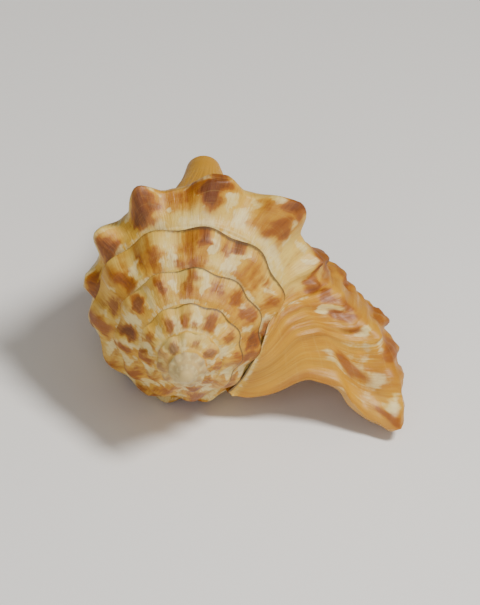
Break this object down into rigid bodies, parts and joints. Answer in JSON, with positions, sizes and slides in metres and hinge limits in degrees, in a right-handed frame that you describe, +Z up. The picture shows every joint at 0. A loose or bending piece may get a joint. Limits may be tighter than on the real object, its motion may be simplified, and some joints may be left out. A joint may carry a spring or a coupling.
{
  "type": "conch shell",
  "caption": "Knobbed conch shell lying on its opening, with a tall whorled spire, a row of blunt shoulder knobs, a flared outer lip, an open aperture and a short siphonal canal",
  "frame": {"origin": "middle of the plane that the shell lies on, under the middle of its bounding box", "axes": "+Z up from the surface it lies on, +Y along the shell toward the siphonal canal with the apex at -Y, +X toward the outer lip"},
  "size_m": [0.1216, 0.1522, 0.0863],
  "materials": {
    "shell": "worn natural shell: ochre and reddish-brown blotches on cream, satin outside and glossy inside"
  },
  "bodies": {
    "root": {"shell": "shell"}
  },
  "joints": []
}
